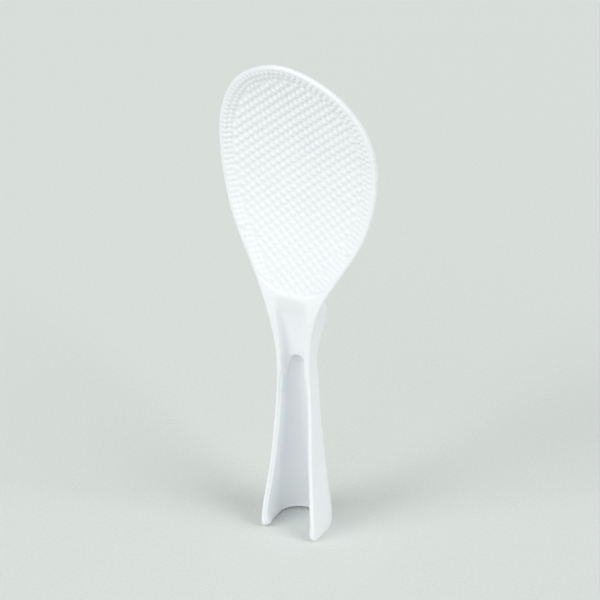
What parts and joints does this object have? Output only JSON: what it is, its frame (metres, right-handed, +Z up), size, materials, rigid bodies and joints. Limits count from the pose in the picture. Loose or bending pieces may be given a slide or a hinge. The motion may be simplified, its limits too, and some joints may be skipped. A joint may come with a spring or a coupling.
{
  "type": "rice paddle",
  "caption": "Self-standing moulded plastic rice paddle with a shallow dished oval blade, a smooth rim, a scooped neck and a U-shaped handle that flares into a foot.",
  "frame": {"origin": "middle of the bounding box's bottom face, on the surface the foot stands on", "axes": "+Z up from the foot to the blade's top, -Y towards the hollow front of the blade and the channel's mouth, +X towards the viewer's right seen from the front"},
  "size_m": [0.0646, 0.0264, 0.2],
  "materials": {
    "white_plastic": "satin moulded polypropylene"
  },
  "bodies": {
    "root": {"blade_rim": "white_plastic", "blade_web": "white_plastic", "handle_back": "white_plastic", "heel": "white_plastic", "left_foot": "white_plastic", "left_wall": "white_plastic", "neck": "white_plastic", "right_foot": "white_plastic", "right_wall": "white_plastic"}
  },
  "joints": []
}
